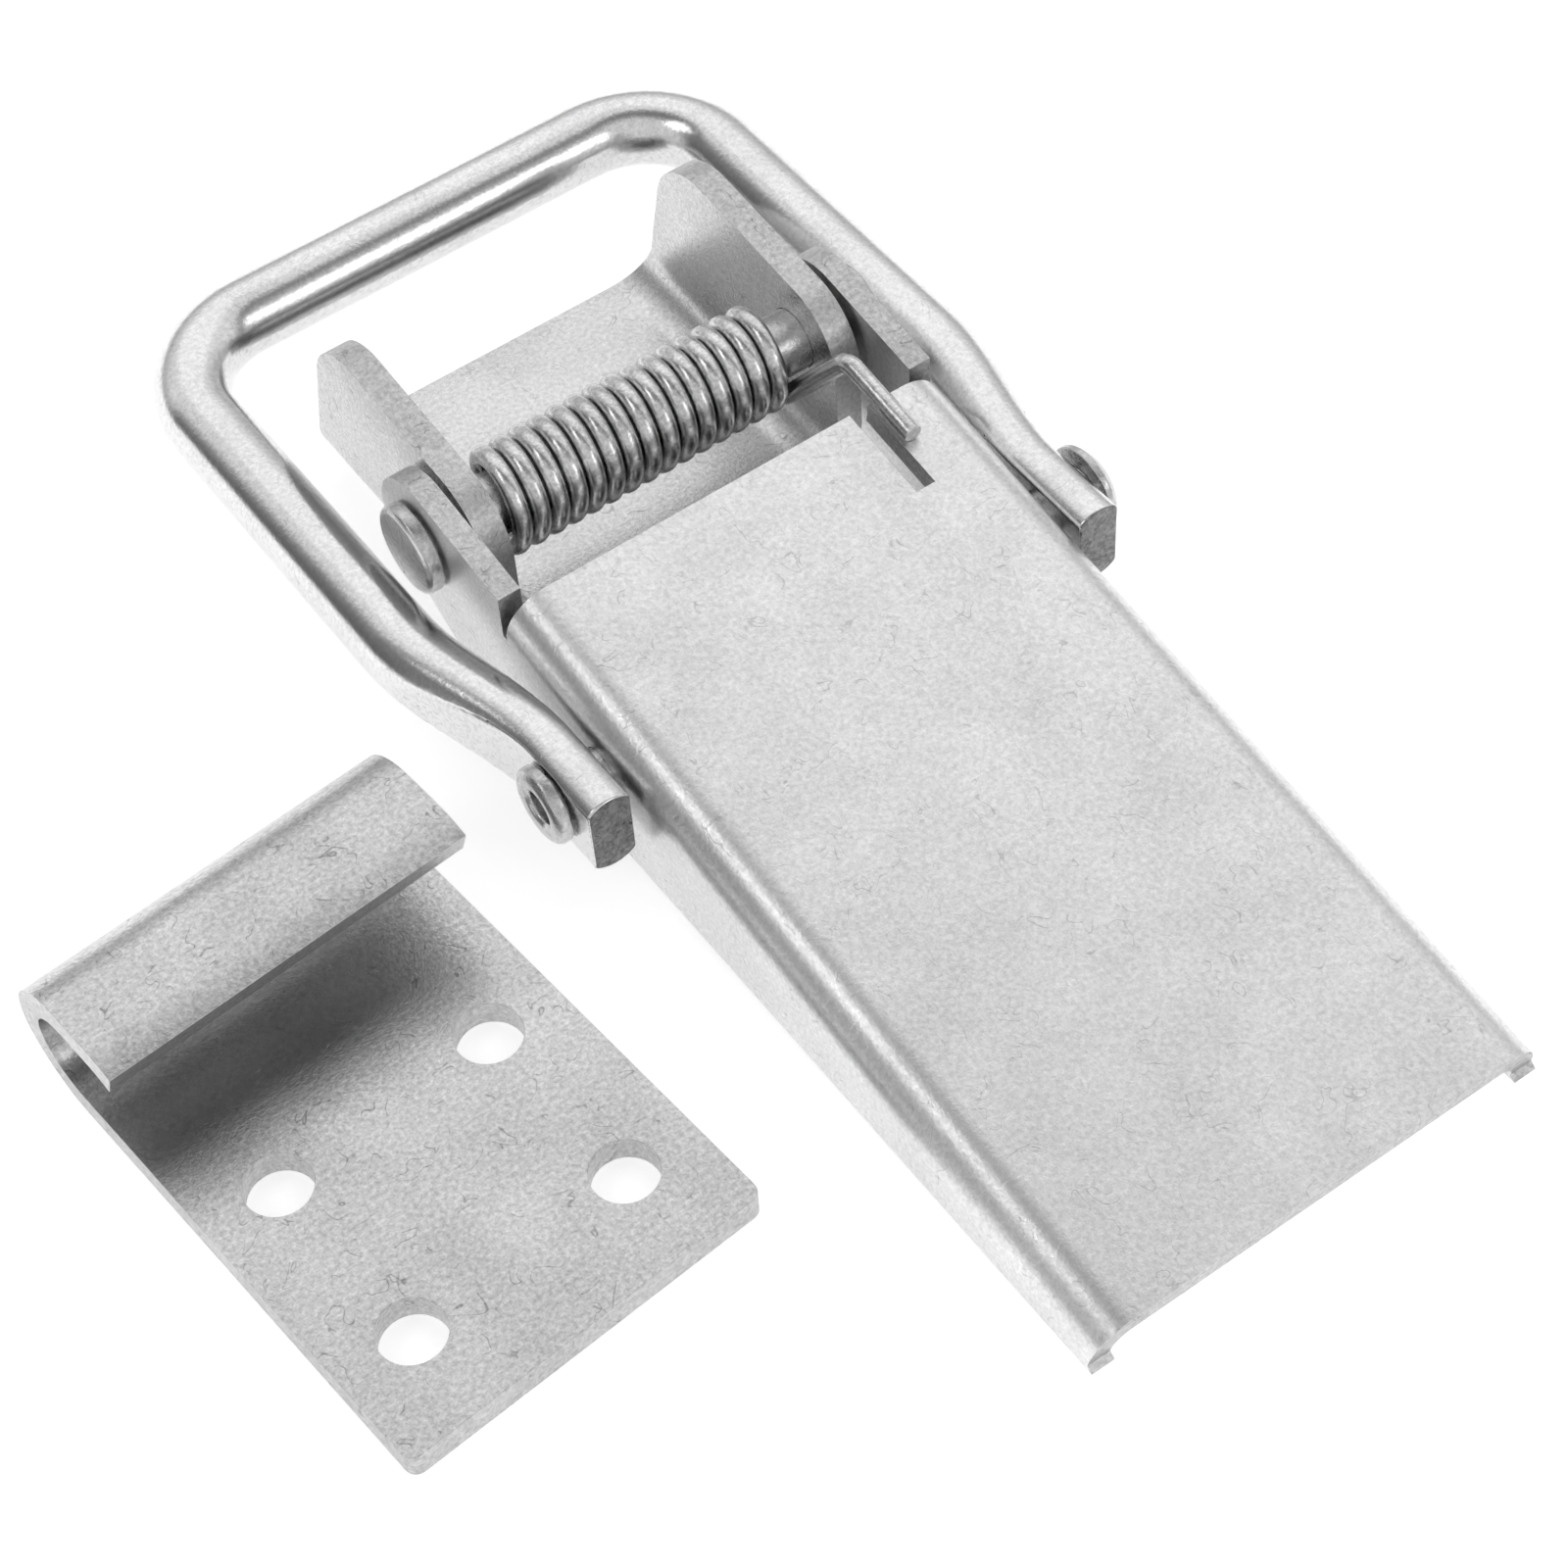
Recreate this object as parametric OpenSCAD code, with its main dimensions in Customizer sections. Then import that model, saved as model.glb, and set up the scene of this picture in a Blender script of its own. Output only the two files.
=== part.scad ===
// Trailer door latch: an over-centre lever latch with a spring-loaded lever, a wire bail and a hook plate.
// X runs along the pivot pin, +Y from the lever's tail to the bail's crossbar, +Z away from the door.
// The origin is the middle of the base's four screw holes, on the face that lies against the door.

/* [Lever] */
// Outside width of the lever
lever_w = 50; // [46:0.5:56]
// Sheet thickness of the lever
lever_t = 2.5; // [2:0.1:3]
// Inside radius of the lever's two long bends
lever_bend_r = 1; // [0.5:0.1:1.5]
// Front edge of the lever's plate behind the pivot
plate_front = 15; // [14:0.25:18]
// Top face of the plate at its front edge, above the pivot
plate_rise = 5; // [4.5:0.1:6]
// Fall of the plate towards its tail, in degrees
lever_slope = 8.3; // [7.5:0.1:8.3]
// Tail of the lever behind the pivot
tail_back = 102.5; // [96:0.5:103]
// Radius of the arms' round front ends
arm_r = 7; // [6.5:0.1:8]
// Lowest front corner of the side flanges behind the pivot
heel_back = 10; // [8:0.5:13]
// Rounding of that corner
heel_r = 8; // [4:0.5:10]
// Height of the flanges' lower edge above the door at that corner
heel_lift = 0.5; // [0.3:0.1:1.2]
// Height of the flanges' lower edge above the door at the tail
tail_lift = 2.2; // [1.5:0.1:2.3]
// Width of the relief cut between the plate's front edge and each arm
relief_w = 0.6; // [0.4:0.1:1]
// How far the relief cut goes below the bend
relief_l = 0.6; // [0.4:0.1:1.5]

/* [Spring slot] */
// Middle of the slot from the lever's right side
slot_from_side = 9.5; // [9.2:0.1:11]
// Width of the slot
slot_w = 2.2; // [1.8:0.1:2.4]
// Length of the slot from the plate's front edge
slot_l = 11.4; // [8:0.1:14]

/* [Base] */
// Sheet thickness of the base
base_t = 3; // [2.5:0.1:3.5]
// Inside radius of the base's bends
base_bend_r = 4.2; // [3:0.1:4.6]
// Front edge of the base ahead of the pivot
base_front = 27.8; // [25:0.1:31]
// How far the ears' front edges lean back
ear_lean = 5.6; // [3:0.1:7]
// Height of the ears at their front corner
ear_h = 24.2; // [22.5:0.1:25]
// Rounding of the ears' front corner
ear_corner_r = 8; // [6:0.5:9]
// Radius of the ears' rear ends round the pivot
ear_r = 7; // [6:0.1:7.5]
// Rounding of the corners of the base's rear part
base_corner_r = 6; // [3:0.5:8]
// Length of the relief notches behind the ears' bends
base_relief = 1; // [0.6:0.1:2]

/* [Screw holes] */
// Diameter of every screw hole
screw_d = 6.5; // [5.5:0.1:7]
// Base: distance between holes across
base_hole_x = 22; // [20:0.5:24]
// Base: distance between holes along
base_hole_y = 34; // [30:0.5:36]
// Base: first row of holes behind the pivot
base_hole_back = 20; // [18:0.5:23]
// Base: rear edge behind the last row
base_margin = 9; // [8:0.5:11]
// Keeper: distance between holes across
keeper_hole_x = 23.4; // [20:0.1:25]
// Keeper: distance between holes along
keeper_hole_y = 19.4; // [17:0.1:21]
// Keeper: plain end to the first row
keeper_margin = 9.8; // [8:0.1:12]

/* [Pivot pin] */
// Height of the pin above the door
pivot_z = 15; // [14.5:0.1:16]
// Diameter of the pin
pin_d = 6.5; // [5.5:0.1:7]
// Diameter of the pin's heads
pin_head_d = 9.4; // [8.5:0.1:11]
// Thickness of the pin's heads
pin_head_t = 1.7; // [1.2:0.1:2.2]
// Rounding of the heads' outer edges
head_edge_r = 0.5; // [0.2:0.1:0.8]

/* [Torsion spring] */
// Diameter of the spring's wire
wire_d = 2; // [1.7:0.1:2.1]
// Room between the pin and the coil
coil_room = 0.35; // [0.2:0.05:0.6]
// Gap between one turn and the next
turn_gap = 0.15; // [0.05:0.01:0.2]
// Where the upper leg bends onto the plate, behind the pivot
leg_turn_back = 11.1; // [10:0.1:12]
// Length of the upper leg on the plate
leg_on_plate = 6.5; // [4:0.1:8]
// Length of the lower leg's foot on the floor
foot_l = 4; // [2:0.1:6]
// Bend radius of the legs, to the middle of the wire
leg_bend_r = 2; // [1.6:0.1:2.4]

/* [Bail] */
// Diameter of the bail's rod
rod_d = 8; // [7:0.1:8.5]
// Crossbar's middle ahead of the bail's rivets
bail_reach = 72; // [68:0.1:80]
// Bend radius of the bail's corners, to the middle of the rod
bail_corner_r = 11; // [8:0.5:13]
// How far the bail hangs down as it rests, in degrees
bail_dip = 0.7; // [0:0.1:4]
// Thickness of the flattened ends
flat_t = 4.6; // [4:0.1:5]
// Height of the flattened ends
flat_h = 9.4; // [8.5:0.1:10]
// Flattened end behind the rivet
flat_back = 6.5; // [5.5:0.1:8]
// Flattened part ahead of the rivet
flat_front = 3; // [2.5:0.1:4]
// Where the legs are straight and round again, ahead of the rivet
offset_end = 25; // [23:0.5:26]

/* [Bail rivets] */
// Rivets behind the pivot
rivet_back = 30.3; // [29:0.1:32]
// Rivets above the door
rivet_z = 10.6; // [9.5:0.1:11]
// Diameter of the rivets' shanks
rivet_d = 5; // [4.5:0.1:5.5]
// Diameter of the rivets' heads
rivet_head_d = 8; // [7.5:0.1:8.6]
// Thickness of the left rivet's rolled outer head
rivet_head_t = 1.5; // [1.2:0.1:2]
// Diameter of the right rivet's domed outer head
rivet_dome_d = 8.4; // [8:0.1:9]
// Height of that dome
rivet_dome_t = 2.6; // [2:0.1:3]
// Thickness of the inner heads
rivet_inner_t = 1.1; // [0.8:0.1:1.3]
// Diameter of the hollow in the rolled head
rivet_hollow_d = 3.4; // [2.5:0.1:3.8]
// Depth of that hollow
rivet_hollow_l = 3; // [2:0.1:4]

/* [Keeper] */
// Width of the keeper
keeper_w = 38.6; // [36:0.2:44]
// Sheet thickness of the keeper
keeper_t = 3; // [2.5:0.1:3.5]
// Plain end to the middle of the hook's bend
keeper_flat = 48.5; // [46:0.1:54]
// Room round the bail's rod in the hook
hook_room = 1; // [0.8:0.1:1.5]
// Straight part of the hook's lip
lip_l = 4; // [3:0.1:5]
// Inside radius of the lip's drooping tip
lip_r = 10; // [8:0.5:14]
// Droop of the lip's tip, in degrees
lip_droop = 20; // [10:1:25]
// Rounding of the keeper's plain corners
keeper_corner_r = 1.2; // [0.6:0.1:3]
// Plain end of the keeper behind the pivot, as it lies beside the latch
keeper_back = 73.6; // [70:0.1:78]
// Turn of the keeper as it lies
keeper_turn = 5; // [0:0.5:6]
// Gap between the keeper and the bail beside it
keeper_gap = 1.1; // [0.6:0.1:6]

/* [Clearances] */
// Pins in their holes, all round
pin_clear = 0.05; // [0.02:0.01:0.09]
// Between an ear and the lever's arm beside it
ear_gap = 0.6; // [0.4:0.1:1.2]
// Between the lever's flange and the bail's flattened end
bail_gap = 0.9; // [0.5:0.1:1.2]
// Under the pin's and the rivets' heads
head_gap = 0.3; // [0.2:0.05:0.5]
// Between a pin head and the bail's leg beside it
leg_gap = 0.8; // [0.6:0.1:1.4]
// Under the spring's legs and the rivets' inner heads
touch_gap = 0.05; // [0.03:0.01:0.1]
// Least gap between an ear and the spring's coil
spring_gap = 1.2; // [0.8:0.1:1.6]

/* [Hidden] */
$fn = 64;
SHINY = "Gainsboro";
ZINC = "LightGray";
DARK = "Silver";
STEPS_PER_TURN = 20;
WIRE_SIDES = 8;
BEND_STEPS = 4;
ROD_SIDES = 24;
OFFSET_STEPS = 18;
REACH = 400;
SEAM = 0.4;
TUCK = 0.12;
SWELL = 0.02;
JAW_POWER = 0.3;
SEAM_STEP = 0.04;
OVERLAP = 6;

// Places along Y of the pivot, in front of the middle of the base's holes
pivot_y = base_hole_back + base_hole_y / 2;

// Lever
lever_side = lever_w / 2;
lever_inner = lever_side - lever_t;
lever_outer_r = lever_bend_r + lever_t;
function plate_top(y) = plate_rise + (y + plate_front) * tan(lever_slope);
heel = [-heel_back, heel_lift - pivot_z];
tail_low = [-tail_back, tail_lift - pivot_z];
slot_x = lever_side - slot_from_side;

// Base
base_side = lever_inner - ear_gap;
ear_inner = base_side - base_t;
floor_z = base_t - pivot_z;
floor_flat = ear_inner - base_bend_r;
base_rear = -(base_hole_back + base_hole_y + base_margin);

// Pin
pin_hole_d = pin_d + 2 * pin_clear;
head_face = lever_side + head_gap + pin_head_t;

// Spring
coil_r = pin_d / 2 + coil_room + wire_d / 2;
coil_pitch = wire_d + turn_gap;
coil_left = -ear_inner + spring_gap + wire_d / 2;
leg_x = slot_x + slot_w / 2 + touch_gap + wire_d / 2;
function leg_z(y) = plate_top(y) + (touch_gap + wire_d / 2) / cos(lever_slope);
leg_corner = [leg_x, -leg_turn_back, leg_z(-leg_turn_back)];
leg_tip_y = -plate_front - leg_on_plate;

// Angles round the pin at which the wire leaves its lower leg and touches its upper leg
START_ANGLE = 235;
END_ANGLE = atan2(leg_corner.z, leg_corner.y) + acos(coil_r / norm([leg_corner.y, leg_corner.z]));
part_turn = (START_ANGLE - END_ANGLE) / 360;
whole_turns = floor(-2 * coil_left / coil_pitch - part_turn);
turns = whole_turns + part_turn;
coil_right = coil_left + turns * coil_pitch;

// Height of the foot over the floor, where it may lie in the round of the bend
foot_out = -coil_left - floor_flat;
foot_in_bend = base_bend_r - sqrt(pow(base_bend_r - touch_gap - wire_d / 2, 2) - pow(max(0, foot_out), 2));
foot_z = floor_z + (foot_out > 0 ? foot_in_bend : touch_gap + wire_d / 2);

// Bail
rod_r = rod_d / 2;
flat_x = lever_side + bail_gap + flat_t / 2;
bail_x = head_face + leg_gap + rod_r;
rivet_hole_d = rivet_d + 2 * pin_clear;

// Keeper
hook_r = rod_r + hook_room;
hook_z = keeper_t + hook_r;
keeper_x = -(bail_x + rod_r + keeper_gap + keeper_w / 2 * cos(keeper_turn));

// Small helpers

// Pushes a drawing of Y and Z out along X
module along_x(from, to) {
    translate([from, 0, 0])
        rotate([90, 0, 90])
            linear_extrude(to - from)
                children();
}

// Pushes a drawing of X and Z backwards along Y
module backwards(from, to) {
    translate([0, from, 0])
        rotate([90, 0, 0])
            linear_extrude(from - to)
                children();
}

// Moves to the pivot
module at_pivot() {
    translate([0, pivot_y, pivot_z])
        children();
}

// A rod along X
module rod_x(from, to, d) {
    translate([from, 0, 0])
        rotate([0, 90, 0])
            cylinder(h = to - from, d = d);
}

// Draws a piece and its mirror image on the other side
module both_sides() {
    children();
    mirror([1, 0, 0])
        children();
}

// Point where a line from p nearly touches a circle of radius r round the origin, on the side given by s:
// it ends a little inside, so that the line and the circle cross cleanly
function touch(p, r, s) =
    let (inside = r - TUCK, a = atan2(p.y, p.x) + s * acos(inside / norm(p)))
    [inside * cos(a), inside * sin(a)];

function unit(v) = v / norm(v);

// Half the corner's angle, the setback of its rounding, and the middle of that rounding
function half_angle(a, p, b) = acos(unit(a - p) * unit(b - p)) / 2;
function setback(a, p, b, r) = r / tan(half_angle(a, p, b));
function arc_middle(a, p, b, r) = p + unit(unit(a - p) + unit(b - p)) * r / sin(half_angle(a, p, b));
function arc_ends(a, p, b, r) =
    [p + unit(a - p) * setback(a, p, b, r), p + unit(b - p) * setback(a, p, b, r)];

// The disc that rounds a corner at p between a and b, a hair larger so that it crosses the edges cleanly
module corner_disc(a, p, b, r) {
    translate(arc_middle(a, p, b, r))
        circle(r + SWELL);
}

// A rectangle with round corners, drawn round the origin
module rounded_rectangle(size, r) {
    square([size.x - 2 * r, size.y], center = true);
    square([size.x, size.y - 2 * r], center = true);
    for (x = [-1, 1], y = [-1, 1])
        translate([x * (size.x / 2 - r), y * (size.y / 2 - r)])
            circle(r);
}

// A folded channel's section: width over all, height, sheet and inside bend radius, open at the bottom
module channel(w, h, t, r) {
    difference() {
        channel_fill(w, h, r + t);
        translate([0, -t])
            channel_fill(w - 2 * t, h, r);
    }
}

module channel_fill(w, h, r) {
    translate([-w / 2, -h])
        square([w, h - r]);
    translate([-w / 2 + r, -r])
        square([w - 2 * r, r]);
    for (x = [-1, 1])
        translate([x * (w / 2 - r), -r])
            circle(r);
}

// Base: floor and two ears, folded from one sheet

module ear_outline() {
    front_low = [base_front, -pivot_z];
    corner = [base_front - ear_lean, ear_h - pivot_z];
    rear_top = touch(corner, ear_r, 1);
    rounding = arc_ends(front_low, corner, rear_top, ear_corner_r);
    circle(ear_r);
    corner_disc(front_low, corner, rear_top, ear_corner_r);
    polygon([[-ear_r, -pivot_z], front_low, rounding[0], rounding[1], rear_top, [-ear_r, 0]]);
}

module base_floor() {
    wide_front = -ear_r - base_relief;
    neck = floor_flat - SEAM;
    translate([0, 0, -pivot_z])
        linear_extrude(base_t) {
            translate([0, (base_rear + wide_front) / 2])
                rounded_rectangle([2 * ear_inner, wide_front - base_rear], base_corner_r);
            translate([-neck, wide_front - base_corner_r])
                square([2 * neck, base_corner_r + base_relief + SEAM]);
        }
}

module base() {
    color(ZINC)
        at_pivot()
            difference() {
                union() {
                    intersection() {
                        translate([0, 0, -pivot_z])
                            mirror([0, 0, 1])
                                backwards(base_front, -ear_r)
                                    channel(2 * base_side, REACH, base_t, base_bend_r);
                        along_x(-REACH, REACH)
                            ear_outline();
                    }
                    base_floor();
                }
                rod_x(-lever_side, lever_side, pin_hole_d);
                for (x = [-1, 1], row = [0, 1])
                    translate([x * base_hole_x / 2, -base_hole_back - row * base_hole_y, -pivot_z - SEAM])
                        cylinder(h = base_t + 2 * SEAM, d = screw_d);
            }
}

// Lever: plate, two wedge-shaped flanges and two arms, folded from one sheet

// Lower end of the relief cuts, below the plate's top face
function relief_low(y) = plate_top(y) - lever_outer_r / cos(lever_slope) - relief_l;

module side_outline() {
    arm_rear = -plate_front + relief_w;
    top_rear = [arm_rear, plate_rise];
    front_low = touch(heel, arm_r, 1);
    rounding = arc_ends(tail_low, heel, front_low, heel_r);
    circle(arm_r);
    corner_disc(tail_low, heel, front_low, heel_r);
    polygon([touch(top_rear, arm_r, -1), top_rear, [arm_rear, relief_low(arm_rear)],
             [-tail_back, relief_low(-tail_back)], tail_low, rounding[0], rounding[1], front_low]);
}

module plate_outline() {
    polygon([[-plate_front, REACH], [-tail_back, REACH], [-tail_back, relief_low(-tail_back) - SEAM],
             [-plate_front, relief_low(-plate_front) - SEAM]]);
}

module lever() {
    color(SHINY)
        at_pivot()
            difference() {
                union() {
                    intersection() {
                        translate([0, -plate_front, plate_rise])
                            rotate([lever_slope, 0, 0])
                                backwards(OVERLAP, -REACH)
                                    channel(lever_w, REACH, lever_t, lever_bend_r);
                        along_x(-REACH, REACH)
                            plate_outline();
                    }
                    both_sides()
                        along_x(lever_inner, lever_side)
                            side_outline();
                }
                rod_x(-REACH, REACH, pin_hole_d);
                translate([0, -rivet_back, rivet_z - pivot_z])
                    rod_x(-REACH, REACH, rivet_hole_d);
                translate([slot_x, -plate_front, plate_rise])
                    rotate([lever_slope, 0, 0])
                        translate([-slot_w / 2, -slot_l, -lever_t - lever_bend_r])
                            cube([slot_w, slot_l + OVERLAP, lever_t + 2 * lever_bend_r]);
            }
}

// Pivot pin

module head_profile(d, t, hollow_d, edge_r) {
    difference() {
        union() {
            square([d / 2, t - edge_r]);
            square([d / 2 - edge_r, t]);
            translate([d / 2 - edge_r, t - edge_r])
                circle(edge_r);
        }
        translate([-REACH, -REACH])
            square([REACH + hollow_d / 2, 2 * REACH]);
    }
}

module round_head(d, t, hollow_d = 0) {
    rotate([0, 90, 0])
        rotate_extrude()
            head_profile(d, t, hollow_d, head_edge_r);
}

module pivot_pin() {
    color(DARK)
        at_pivot() {
            rod_x(-lever_side - head_gap - pin_head_t / 2, lever_side + head_gap + pin_head_t / 2, pin_d);
            both_sides()
                translate([lever_side + head_gap, 0, 0])
                    round_head(pin_head_d, pin_head_t);
        }
}

// Torsion spring: one wire from the foot on the floor, round the pin and onto the lever's plate

function coil_point(i) =
    let (a = START_ANGLE - 360 * i / STEPS_PER_TURN)
    [coil_left + coil_pitch * i / STEPS_PER_TURN, coil_r * cos(a), coil_r * sin(a)];

// Points of a round bend at p between a and b
function bend_points(a, p, b, r) =
    let (middle = arc_middle(a, p, b, r), ends = arc_ends(a, p, b, r), u = ends[0] - middle,
         sweep = 180 - 2 * half_angle(a, p, b), w = (ends[1] - middle - u * cos(sweep)) / sin(sweep))
    [for (k = [0:BEND_STEPS]) middle + u * cos(sweep * k / BEND_STEPS) + w * sin(sweep * k / BEND_STEPS)];

coil_start = coil_point(0);
coil_end = [coil_right, coil_r * cos(END_ANGLE), coil_r * sin(END_ANGLE)];
lower_dir = [0, -sin(START_ANGLE), cos(START_ANGLE)];
ankle = coil_start + lower_dir * (foot_z - coil_start.z) / lower_dir.z;
toe = ankle + [0, foot_l, 0];
leg_tip = [leg_x, leg_tip_y, leg_z(leg_tip_y)];

spring_path = concat(
    [toe],
    bend_points(toe, ankle, coil_start, leg_bend_r),
    [for (i = [0:STEPS_PER_TURN * turns]) coil_point(i)],
    [coil_end],
    bend_points(coil_end, leg_corner, leg_tip, leg_bend_r),
    [leg_tip]
);

// Direction of a path at its point i
function heading(path, i) = unit(path[min(i + 1, len(path) - 1)] - path[max(i - 1, 0)]);

// Carries a direction across the wire from one point to the next, so that the tube doesn't twist
function carried(path, i, across) =
    let (h = heading(path, i))
    unit(across - h * (across * h));

function across_list(path) =
    [for (i = 0, n = carried(path, 0, [1, 0.2, 0.1]); i < len(path);
          i = i + 1, n = i < len(path) ? carried(path, i, n) : n) n];

// A tube of the given radius along a path
module tube(path, r, sides) {
    across = across_list(path);
    last = len(path) - 1;
    points = [for (i = [0:last]) let (n = across[i], b = cross(heading(path, i), n))
              for (k = [0:sides - 1]) path[i] + r * (n * cos(360 * k / sides) + b * sin(360 * k / sides))];
    tube_solid(points, last, sides);
}

// Closes rings of points into one solid
module tube_solid(points, last, sides) {
    walls = [for (i = [0:last - 1], k = [0:sides - 1])
             let (j = (k + 1) % sides)
             [i * sides + k, (i + 1) * sides + k, (i + 1) * sides + j, i * sides + j]];
    start = [for (k = [0:sides - 1]) k];
    end = [for (k = [sides - 1:-1:0]) last * sides + k];
    polyhedron(points, concat([start], walls, [end]), convexity = 10);
}

module torsion_spring() {
    color(SHINY)
        at_pivot()
            tube(spring_path, wire_d / 2, WIRE_SIDES);
}

// Bail: a rod bent to a loop, with its ends set inwards and forged flat

// Shares of the inward set and of the flattening, from the rivet (0) to the straight leg (1)
function ease(t) = t * t * (3 - 2 * t);
function leg_share(y) = ease(max(0, min(1, (y - flat_front) / (offset_end - flat_front))));
function leg_middle(y) = flat_x + (bail_x - flat_x) * leg_share(y);
seam_r = rod_r - SEAM_STEP;
function leg_half_t(y) = flat_t / 2 + (seam_r - flat_t / 2) * leg_share(y);
function leg_half_h(y) = flat_h / 2 + (seam_r - flat_h / 2) * leg_share(y);

// How square the section is: 1 for a round rod, less for a rod pressed flat between two jaws
function leg_power(y) = JAW_POWER + (1 - JAW_POWER) * leg_share(y);

// One ring of the leg
function leg_ring(y) =
    [for (k = [0:ROD_SIDES - 1])
     let (a = 360 * (k + 0.5) / ROD_SIDES)
     [leg_middle(y) + leg_half_t(y) * sign(cos(a)) * pow(abs(cos(a)), leg_power(y)), y, -leg_half_h(y) * sin(a)]];

module bail_leg_end() {
    stations = concat([-flat_back], [for (i = [0:OFFSET_STEPS]) flat_front
                       + (offset_end - flat_front) * i / OFFSET_STEPS]);
    points = [for (y = stations) each leg_ring(y)];
    tube_solid(points, len(stations) - 1, ROD_SIDES);
}

module bail() {
    straight_end = bail_reach - bail_corner_r;
    bar_half = bail_x - bail_corner_r;
    color(SHINY)
        translate([0, pivot_y - rivet_back, rivet_z])
            rotate([-bail_dip, 0, 0]) {
                translate([0, bail_reach, 0])
                    rod_x(-bar_half, bar_half, rod_d);
                both_sides() {
                    translate([bar_half, straight_end, 0])
                        rotate_extrude(angle = 90)
                            translate([bail_corner_r, 0])
                                circle(rod_r);
                    translate([bail_x, straight_end, 0])
                        rotate([90, 0, 0])
                            cylinder(h = straight_end - offset_end + SEAM, r = rod_r);
                    difference() {
                        bail_leg_end();
                        rod_x(0, REACH, rivet_hole_d);
                    }
                }
            }
}

// Bail rivets: a shank through the bail's end and the lever's flange

rivet_outer = lever_side + bail_gap + flat_t + head_gap;
rivet_inner = lever_inner - touch_gap;

module rivet_shank() {
    rod_x(rivet_inner, rivet_outer + rivet_head_t / 2, rivet_d);
    mirror([1, 0, 0])
        translate([-rivet_inner, 0, 0])
            round_head(rivet_head_d, rivet_inner_t);
}

module dome_head(d, t) {
    ball_r = (d * d / 4 + t * t) / (2 * t);
    rotate([0, 90, 0])
        rotate_extrude()
            intersection() {
                translate([0, t - ball_r])
                    circle(ball_r);
                square([REACH, REACH]);
            }
}

module bail_rivet_right() {
    color(DARK)
        translate([0, pivot_y - rivet_back, rivet_z]) {
            rivet_shank();
            translate([rivet_outer, 0, 0])
                dome_head(rivet_dome_d, rivet_dome_t);
        }
}

module bail_rivet_left() {
    color(DARK)
        translate([0, pivot_y - rivet_back, rivet_z])
            mirror([1, 0, 0])
                difference() {
                    union() {
                        rivet_shank();
                        translate([rivet_outer, 0, 0])
                            round_head(rivet_head_d, rivet_head_t);
                    }
                    rod_x(rivet_outer + rivet_head_t - rivet_hollow_l, REACH, rivet_hollow_d);
                }
}

// Keeper: a screwed-down plate with its end rolled back into a hook for the bail's crossbar

// Half plane above or below a line through the origin, used to cut rings into arcs
module half_plane(turn) {
    rotate(turn)
        translate([-REACH, 0])
            square([2 * REACH, REACH]);
}

module ring(inner, outer) {
    difference() {
        circle(outer);
        circle(inner);
    }
}

module keeper_outline() {
    square([keeper_flat, keeper_t]);
    translate([keeper_flat, hook_z])
        intersection() {
            ring(hook_r, hook_r + keeper_t);
            half_plane(-90);
        }
    translate([keeper_flat - lip_l, hook_z + hook_r])
        square([lip_l, keeper_t]);
    translate([keeper_flat - lip_l, hook_z + hook_r - lip_r])
        intersection() {
            ring(lip_r, lip_r + keeper_t);
            half_plane(90);
            half_plane(lip_droop - 90);
        }
}

module keeper_plan() {
    length = keeper_flat + hook_r + 2 * keeper_t;
    translate([0, length / 2])
        rounded_rectangle([keeper_w, length], keeper_corner_r);
}

module keeper() {
    color(ZINC)
        translate([keeper_x, pivot_y - keeper_back, 0])
            rotate(keeper_turn)
                difference() {
                    intersection() {
                        along_x(-keeper_w / 2, keeper_w / 2)
                            keeper_outline();
                        linear_extrude(REACH)
                            keeper_plan();
                    }
                    for (x = [-1, 1], row = [0, 1])
                        translate([x * keeper_hole_x / 2, keeper_margin + row * keeper_hole_y, -SEAM])
                            cylinder(h = keeper_t + 2 * SEAM, d = screw_d);
                }
}

base();
lever();
pivot_pin();
torsion_spring();
bail();
bail_rivet_left();
bail_rivet_right();
keeper();
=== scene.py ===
# %% [markdown]
# # A trailer door latch
# An over-centre latch of zinc-plated steel: a base with two ears, a lever on a pin, a round-bar bail on two
# rivets, a torsion spring, and a separate keeper with a rolled hook. The CAD model gives every place and size.
# Its meshes could be shown as they are, but their edges are knife-sharp. So each piece is drawn again here with
# soft edges, which catch the light, and gets the finish that zinc plating gives it.

# %% Load the frame
import math
import bmesh
import bpy
from mathutils import Matrix, Vector


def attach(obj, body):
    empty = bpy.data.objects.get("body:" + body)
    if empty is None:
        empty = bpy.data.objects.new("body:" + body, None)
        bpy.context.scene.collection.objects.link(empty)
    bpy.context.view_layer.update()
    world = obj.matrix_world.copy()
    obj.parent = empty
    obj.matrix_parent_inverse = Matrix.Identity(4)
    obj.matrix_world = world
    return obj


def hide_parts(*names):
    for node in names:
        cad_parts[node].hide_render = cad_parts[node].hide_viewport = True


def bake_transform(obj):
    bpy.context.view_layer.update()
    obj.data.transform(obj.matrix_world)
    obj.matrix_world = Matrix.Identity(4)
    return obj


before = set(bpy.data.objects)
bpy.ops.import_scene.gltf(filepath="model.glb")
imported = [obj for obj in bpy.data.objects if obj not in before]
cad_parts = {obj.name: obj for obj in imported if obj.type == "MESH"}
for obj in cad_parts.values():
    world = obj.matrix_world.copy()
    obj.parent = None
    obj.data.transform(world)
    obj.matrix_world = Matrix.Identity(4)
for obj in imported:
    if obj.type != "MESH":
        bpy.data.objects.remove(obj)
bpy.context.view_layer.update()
scene = bpy.context.scene
print("nodes:", sorted(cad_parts))

# %% [markdown]
# The camera was fitted to the photograph's edges: a short tele lens from the lever's left, tail side, looking
# down at about 53 degrees. Its place could be typed in as one matrix. Azimuth, elevation, roll and the distance
# from a target say the same, and they can be read.

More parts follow.
